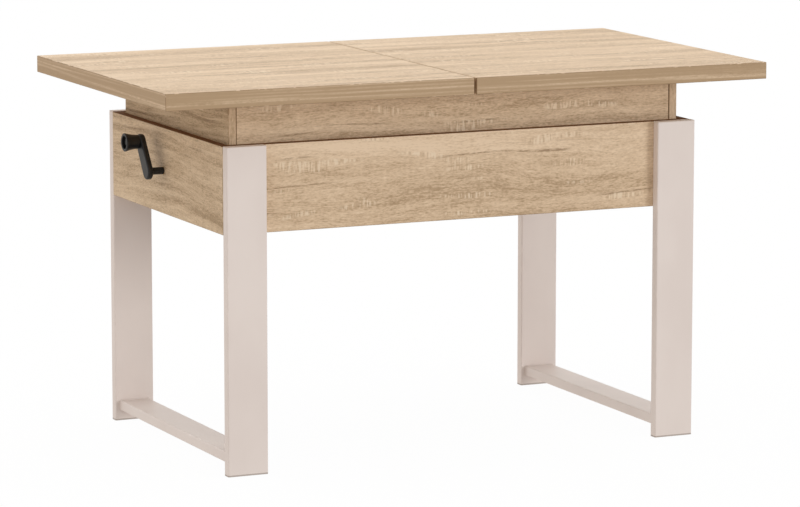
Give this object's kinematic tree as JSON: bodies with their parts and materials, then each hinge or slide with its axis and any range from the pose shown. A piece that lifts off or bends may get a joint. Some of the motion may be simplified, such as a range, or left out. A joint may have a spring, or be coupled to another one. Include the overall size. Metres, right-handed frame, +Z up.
{
  "type": "extending coffee table",
  "caption": "Extending coffee table: split oak-decor top on a box that a side crank raises out of a lower box by a scissor lift, on flat painted steel leg frames.",
  "frame": {"origin": "on the floor under the middle of the closed table top", "axes": "+X along the length away from the crank end, +Y towards the back, +Z up"},
  "size_m": [1.24, 0.688, 0.726],
  "materials": {
    "oak_board": "light rough-sawn oak decor, matt, grain along the board",
    "plain_board": "same board, plain reverse side",
    "beech": "raw beech",
    "leg_paint": "satin powder coat, warm pale beige",
    "cap_plastic": "moulded to match the leg paint",
    "black_plastic": "fine-textured black moulding",
    "nylon": "natural nylon",
    "bronze": "turned bronze",
    "aluminium": "mill-finish extrusion",
    "arm_steel": "black-coated pressed steel",
    "steel": "zinc plated"
  },
  "bodies": {
    "base": {"base_rail_left": "plain_board", "base_rail_right": "plain_board", "base_screws": "steel", "corner_braces": "beech", "foot_caps": "cap_plastic", "guide_pads": "nylon", "leg_back_left": "leg_paint", "leg_back_right": "leg_paint", "leg_bolts": "steel", "leg_front_left": "leg_paint", "leg_front_right": "leg_paint", "leg_top_caps": "cap_plastic", "lower_apron_back": "oak_board", "lower_apron_front": "oak_board", "lower_axle": "steel", "lower_end_left": "oak_board", "lower_end_right": "oak_board", "lower_track_back": "arm_steel", "lower_track_front": "arm_steel", "shaft_bush": "bronze", "spindle_bushes": "bronze", "spindle_cradle": "arm_steel", "stretcher_left": "leg_paint", "stretcher_right": "leg_paint"},
    "lift": {"leaf_half_lower": "oak_board", "leaf_half_upper": "oak_board", "leaf_hinges": "steel", "leaf_rail_left": "plain_board", "leaf_rail_right": "plain_board", "runner_rail_back": "aluminium", "runner_rail_front": "aluminium", "top_glides": "nylon", "upper_apron_back": "oak_board", "upper_apron_front": "oak_board", "upper_end_left": "oak_board", "upper_end_right": "oak_board", "upper_screws": "steel", "upper_track_back": "arm_steel", "upper_track_front": "arm_steel"},
    "crank": {"spindle": "steel", "spindle_collar": "steel", "crank_arm": "black_plastic", "knob_pin": "steel"},
    "knob": {"crank_knob": "black_plastic"},
    "inner_arms": {"inner_arm_front": "arm_steel", "inner_arm_back": "arm_steel", "centre_pins": "steel"},
    "outer_arms": {"outer_arm_front": "arm_steel", "outer_arm_back": "arm_steel", "upper_axle": "steel"},
    "carriage": {"carriage_axle": "steel", "carriage_plates": "arm_steel", "spindle_nut": "bronze"},
    "upper_roller_pair": {"upper_rollers": "nylon"},
    "lower_roller_pair": {"lower_rollers": "nylon"},
    "top_left": {"top_half_left": "oak_board", "runner_sliders_left": "aluminium", "seam_dowels": "beech"},
    "top_right": {"top_half_right": "oak_board", "runner_sliders_right": "aluminium"}
  },
  "joints": [
    {"name": "lift_height", "type": "slide", "parent": "base", "child": "lift", "axis": [0, 0, 1], "range_m": [-0.07, 0.034]},
    {"name": "crank_turn", "type": "hinge", "parent": "base", "child": "crank", "pos_m": [-0.486, 0.016, 0.5335], "axis": [1, 0, 0], "range_deg": [-2680, 1302]},
    {"name": "knob_spin", "type": "hinge", "parent": "crank", "child": "knob", "pos_m": [-0.535, 0.05246, 0.58635], "axis": [1, 0, 0], "continuous": true},
    {"name": "inner_arm_swing", "type": "hinge", "parent": "base", "child": "inner_arms", "pos_m": [0.2, 0.016, 0.482], "axis": [0, 1, 0], "range_deg": [-10.1, 5]},
    {"name": "outer_arm_swing", "type": "hinge", "parent": "inner_arms", "child": "outer_arms", "pos_m": [0.00282, 0.016, 0.55425], "axis": [0, 1, 0], "range_deg": [-9.9, 20.2]},
    {"name": "carriage_level", "type": "hinge", "parent": "outer_arms", "child": "carriage", "pos_m": [-0.19436, 0.016, 0.482], "axis": [0, 1, 0], "range_deg": [-10.1, 5]},
    {"name": "upper_roller_roll", "type": "hinge", "parent": "inner_arms", "child": "upper_roller_pair", "pos_m": [-0.19436, 0.016, 0.6265], "axis": [0, 1, 0], "range_deg": [-72, 148]},
    {"name": "lower_roller_roll", "type": "hinge", "parent": "carriage", "child": "lower_roller_pair", "pos_m": [-0.19436, 0.016, 0.482], "axis": [0, 1, 0], "range_deg": [-121, 59]},
    {"name": "left_half_pull", "type": "slide", "parent": "lift", "child": "top_left", "axis": [-1, 0, 0], "range_m": [0, 0.2]},
    {"name": "right_half_pull", "type": "slide", "parent": "lift", "child": "top_right", "axis": [1, 0, 0], "range_m": [0, 0.2]}
  ],
  "couplings": [
    {"joint": "crank_turn", "follows": "lift_height", "rad_per_m": 668},
    {"joint": "inner_arm_swing", "follows": "lift_height", "rad_per_m": 2.5},
    {"joint": "outer_arm_swing", "follows": "lift_height", "rad_per_m": -5},
    {"joint": "carriage_level", "follows": "lift_height", "rad_per_m": 2.5},
    {"joint": "upper_roller_roll", "follows": "lift_height", "rad_per_m": -36.6},
    {"joint": "lower_roller_roll", "follows": "lift_height", "rad_per_m": 30}
  ]
}
